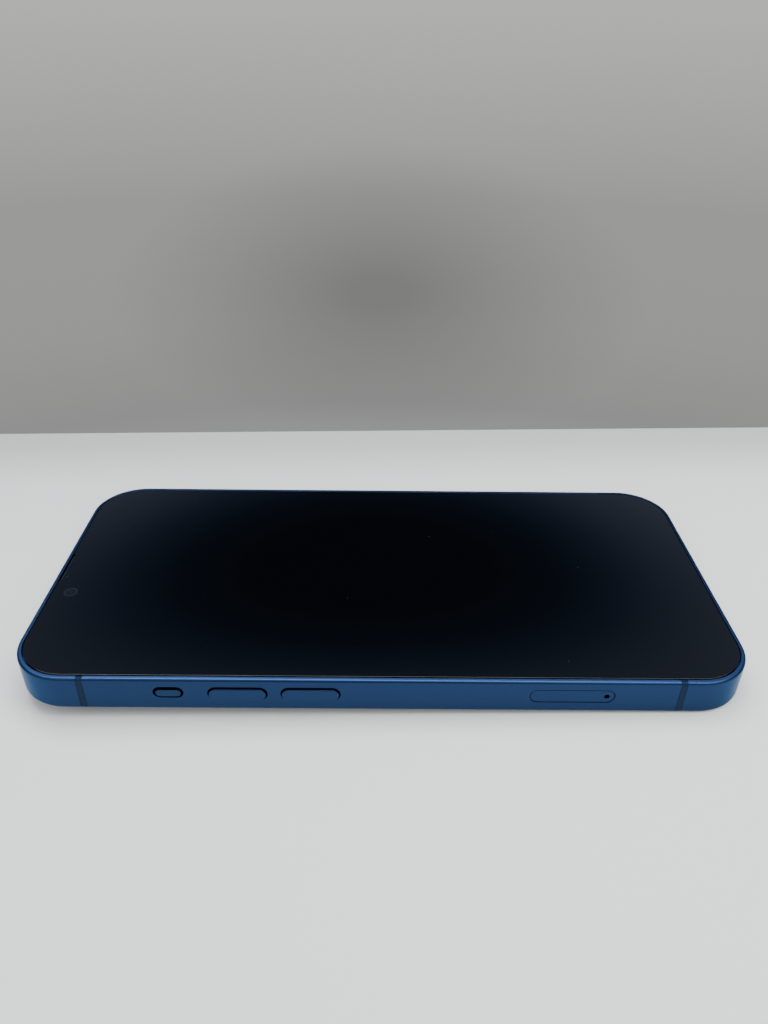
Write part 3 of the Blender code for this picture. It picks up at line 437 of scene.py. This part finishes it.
def polished_glass(name, base, roughness=0.03):
    """Opaque-backed glass with faint smears, and a few specks of dust."""
    material, nodes, shader = new_material(name)
    nodes.link(dusty(nodes, base), shader.inputs["Base Color"])
    smear = nodes.noise(nodes.object_place(), scale=45, detail=5, roughness=0.6, stretch=(1.0, 1.7, 1.0))
    nodes.link(nodes.span(smear, 0.35, 0.75, roughness, roughness + 0.04), shader.inputs["Roughness"])
    shader.inputs["IOR"].default_value = 1.5
    return material


def dusty(nodes, base):
    """The base colour, with small pale specks scattered far apart."""
    speck = nodes.add("ShaderNodeTexVoronoi")
    nodes.link(nodes.object_place(), speck.inputs["Vector"])
    speck.inputs["Scale"].default_value = 260
    near = nodes.span(speck.outputs["Distance"], 0.012, 0.022, 1, 0)
    return nodes.blend(near, base, DUST)


def screen_glass():
    """Black glass over a dark display, with the small ring of the front camera below it and a painted glint
    on its lens.
    """
    low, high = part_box("front_camera")
    centre = ((low.x + high.x) / 2, (low.y + high.y) / 2, SCREEN_Z)
    material = polished_glass("black_glass", SCREEN_BLACK, 0.02)
    nodes = Nodes(material.node_tree)
    shader = material.node_tree.nodes["Principled BSDF"]
    distance = nodes.reach(nodes.object_place(), centre, (1, 1, 1), FRONT_CAMERA_REACH)
    # The front camera's own dark lens, with a painted glint in its lighter centre and outer ring.
    ring_and_glint = nodes.ramp(
        distance,
        [
            (0.25, (0.006, 0.007, 0.012)),
            (0.40, (0.001, 0.001, 0.002)),
            (0.60, (0.008, 0.009, 0.013)),
            (0.80, (0.010, 0.011, 0.015)),
            (0.86, SCREEN_BLACK),
        ],
    )
    outside = nodes.span(distance, 0.88, 0.9, 0, 1)
    plain = shader.inputs["Base Color"].links[0].from_socket
    nodes.link(nodes.blend(outside, ring_and_glint, plain), shader.inputs["Base Color"])
    return material


def lens_glass(node):
    """A camera's cover: black glass with the rings of the lens barrel showing through its middle."""
    low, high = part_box(node)
    centre = ((low.x + high.x) / 2, (low.y + high.y) / 2, low.z)
    radius = (high.x - low.x) / 2
    material, nodes, shader = new_material("lens_glass_" + node)
    rings = nodes.ramp(
        nodes.reach(nodes.object_place(), centre, (1, 1, 1), radius),
        [
            (0.00, (0.030, 0.012, 0.045)),
            (0.12, (0.004, 0.006, 0.020)),
            (0.26, (0.001, 0.001, 0.003)),
            (0.34, (0.020, 0.022, 0.026)),
            (0.38, (0.003, 0.003, 0.004)),
            (0.56, (0.002, 0.002, 0.003)),
            (0.60, (0.030, 0.032, 0.036)),
            (0.64, (0.004, 0.004, 0.005)),
            (0.92, (0.002, 0.002, 0.002)),
        ],
    )
    smear = nodes.noise(nodes.object_place(), scale=300, detail=3)
    nodes.link(rings, shader.inputs["Base Color"])
    nodes.link(nodes.span(smear, 0.3, 0.8, 0.01, 0.05), shader.inputs["Roughness"])
    shader.inputs["IOR"].default_value = 1.6
    shader.inputs["Coat Weight"].default_value = 0.5
    shader.inputs["Coat Tint"].default_value = (0.75, 0.85, 1.0, 1)
    return material


def flash_lens():
    """A clear cap over a pale yellow lamp, moulded in fine rings."""
    low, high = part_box("flash_lens")
    centre = ((low.x + high.x) / 2, (low.y + high.y) / 2, low.z)
    material, nodes, shader = new_material("flash_rings")
    distance = nodes.reach(nodes.object_place(), centre, (1, 1, 1), 1)
    wave = nodes.rings(distance, FLASH_PITCH)
    glow = nodes.span(distance, FLASH_MIDDLE, FLASH_RADIUS, 0, 1)
    yellow = nodes.blend(glow, (0.80, 0.66, 0.26), (0.70, 0.69, 0.64))
    colour = nodes.blend(nodes.span(wave, 0, 1, 0, 0.3), yellow, (0.45, 0.42, 0.34))
    nodes.link(colour, shader.inputs["Base Color"])
    nodes.link(nodes.span(wave, 0, 1, 0.10, 0.22), shader.inputs["Roughness"])
    nodes.link(nodes.bump(wave, strength=0.4, distance=0.03 * MM), shader.inputs["Normal"])
    return material


def copper_coil():
    """Round turns of enamelled wire, with painted shade in the grooves between the turns."""
    material, nodes, shader = new_material("copper_wire")
    place = nodes.object_place()
    wave = nodes.rings(nodes.reach(place, (0, 0, 0), (1, 1, 1000), 1), COIL_PITCH)
    cloud = nodes.noise(place, scale=120, detail=2)
    copper = nodes.blend(cloud, (0.62, 0.27, 0.12), (0.70, 0.34, 0.17))
    # Painted shade: the colour darkens in the grooves between the turns.
    colour = nodes.blend(nodes.span(wave, 0, 0.4, 1, 0), copper, (0.12, 0.04, 0.02))
    nodes.link(colour, shader.inputs["Base Color"])
    nodes.link(nodes.span(wave, 0, 1, 0.5, 0.25), shader.inputs["Roughness"])
    shader.inputs["Metallic"].default_value = 1.0
    nodes.link(nodes.bump(wave, strength=0.8, distance=0.1 * MM), shader.inputs["Normal"])
    return material


def circuit_board():
    """Dark solder mask over a pattern of raised tracks."""
    material, nodes, shader = new_material("solder_mask")
    place = nodes.object_place()
    tracks = nodes.add("ShaderNodeTexBrick", offset=0.5)
    nodes.link(place, tracks.inputs["Vector"])
    tracks.inputs["Scale"].default_value = 420
    tracks.inputs["Mortar Size"].default_value = 0.06
    tracks.inputs["Mortar Smooth"].default_value = 0.2
    cloud = nodes.noise(place, scale=200, detail=2)
    mask = nodes.blend(cloud, (0.006, 0.028, 0.022), (0.012, 0.045, 0.036))
    nodes.link(nodes.blend(tracks.outputs["Fac"], mask, (0.03, 0.10, 0.07)), shader.inputs["Base Color"])
    nodes.link(nodes.span(cloud, 0.3, 0.7, 0.3, 0.42), shader.inputs["Roughness"])
    nodes.link(nodes.bump(tracks.outputs["Fac"], strength=0.4, distance=0.03 * MM), shader.inputs["Normal"])
    return material


def woven_mesh():
    """Fine dark wire cloth: dull wires, with painted shade making the holes between them black."""
    material, nodes, shader = new_material("dark_mesh")
    place = nodes.object_place()
    holes = nodes.add("ShaderNodeTexVoronoi")
    nodes.link(place, holes.inputs["Vector"])
    holes.inputs["Scale"].default_value = 4200
    holes.inputs["Randomness"].default_value = 0.0
    wire = nodes.span(holes.outputs["Distance"], 0.25, 0.45, 0, 1)
    # Painted shade: the holes between the wires are painted near black.
    nodes.link(nodes.blend(wire, (0.001, 0.001, 0.001), (0.02, 0.02, 0.022)), shader.inputs["Base Color"])
    nodes.link(nodes.span(wire, 0, 1, 0.7, 0.4), shader.inputs["Roughness"])
    shader.inputs["Metallic"].default_value = 1.0
    nodes.link(nodes.bump(wire, strength=0.6, distance=0.05 * MM), shader.inputs["Normal"])
    return material


def sheet_metal(name, base=(0.55, 0.56, 0.58), roughness=0.32):
    """Rolled sheet with fine lines along X."""
    material, nodes, shader = new_material(name)
    place = nodes.object_place()
    lines = nodes.noise(place, scale=900, detail=3, roughness=0.6, stretch=(0.05, 1.0, 1.0))
    nodes.link(
        nodes.blend(lines, tuple(c * 0.85 for c in base), tuple(c * 1.1 for c in base)),
        shader.inputs["Base Color"],
    )
    nodes.link(nodes.span(lines, 0.3, 0.7, roughness - 0.06, roughness + 0.08), shader.inputs["Roughness"])
    shader.inputs["Metallic"].default_value = 1.0
    nodes.link(nodes.bump(lines, strength=0.15, distance=0.01 * MM), shader.inputs["Normal"])
    return material


MATERIALS = {
    "blue_aluminium": anodised("anodised_blue", BLUE),
    "antenna_plastic": moulded("band_plastic", (0.003, 0.015, 0.044), 0.4, 0.08),
    "cover_glass": screen_glass(),
    "rear_glass": polished_glass("blue_glass", (0.025, 0.085, 0.19), 0.05),
    "plateau_glass": polished_glass("satin_glass", (0.022, 0.075, 0.17), 0.25),
    "flash_plastic": flash_lens(),
    "display_stack": moulded("display_black", (0.004, 0.004, 0.006), 0.2),
    "gasket_foam": moulded("gasket_foam", (0.01, 0.01, 0.01), 0.9),
    "steel_sheet": sheet_metal("steel_sheet"),
    "dark_module": moulded("black_moulding", (0.012, 0.012, 0.014), 0.4),
    "grey_module": moulded("grey_housing", (0.16, 0.17, 0.18), 0.45),
    "board": circuit_board(),
    "copper_coil": copper_coil(),
    "battery_wrap": moulded("battery_pouch", (0.018, 0.018, 0.02), 0.5),
    "card_plastic": moulded("card_plastic", (0.75, 0.74, 0.70), 0.45),
    "dark_mesh": woven_mesh(),
    "gold_can": sheet_metal("dark_brass", (0.055, 0.046, 0.032), 0.5),
    "haptic_steel": sheet_metal("ground_steel", (0.42, 0.43, 0.45), 0.3),
}


# Pieces.


def node_material(node):
    """The material of the node's slot; each lens cover has rings about its own centre."""
    if NODE_SLOT[node] == "lens_glass":
        return lens_glass(node)
    return MATERIALS[NODE_SLOT[node]]


def refine(node, chamfer=0.0):
    """A finer copy of a CAD node: its facets joined, its corners broken by a chamfer, and shaded smooth."""
    source = NODES[node]
    mesh = bpy.data.meshes.new("fine_" + node)
    work = bmesh.new()
    work.from_mesh(source.data)
    bmesh.ops.remove_doubles(work, verts=work.verts, dist=WELD_DISTANCE)
    bmesh.ops.dissolve_limit(work, angle_limit=FLAT_ANGLE, verts=work.verts, edges=work.edges)
    if chamfer:
        edges = [e for e in work.edges if len(e.link_faces) == 2 and e.calc_face_angle() > CHAMFERED_ANGLE]
        bmesh.ops.bevel(
            work, geom=edges, offset=chamfer, segments=2, profile=0.5, affect="EDGES", clamp_overlap=True
        )
    work.to_mesh(mesh)
    work.free()
    mesh.shade_smooth()
    mesh.set_sharp_from_angle(angle=SHARP_ANGLE)
    piece = bpy.data.objects.new("fine_" + node, mesh)
    bpy.context.scene.collection.objects.link(piece)
    mesh.materials.append(node_material(node))
    normals = piece.modifiers.new("normals", "WEIGHTED_NORMAL")
    normals.keep_sharp = True
    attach(piece, NODE_BODY[node])
    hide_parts(node)


add_camera()
add_floor()
add_lights()
add_world()

CHAMFERS = {
    "frame_left_rail": FRAME_CHAMFER,
    "frame_right_rail": FRAME_CHAMFER,
    "frame_top_cap": FRAME_CHAMFER,
    "frame_bottom_cap": FRAME_CHAMFER,
    "sim_tray": TRAY_CHAMFER,
}
for node in NODES:
    refine(node, CHAMFERS.get(node, 0))
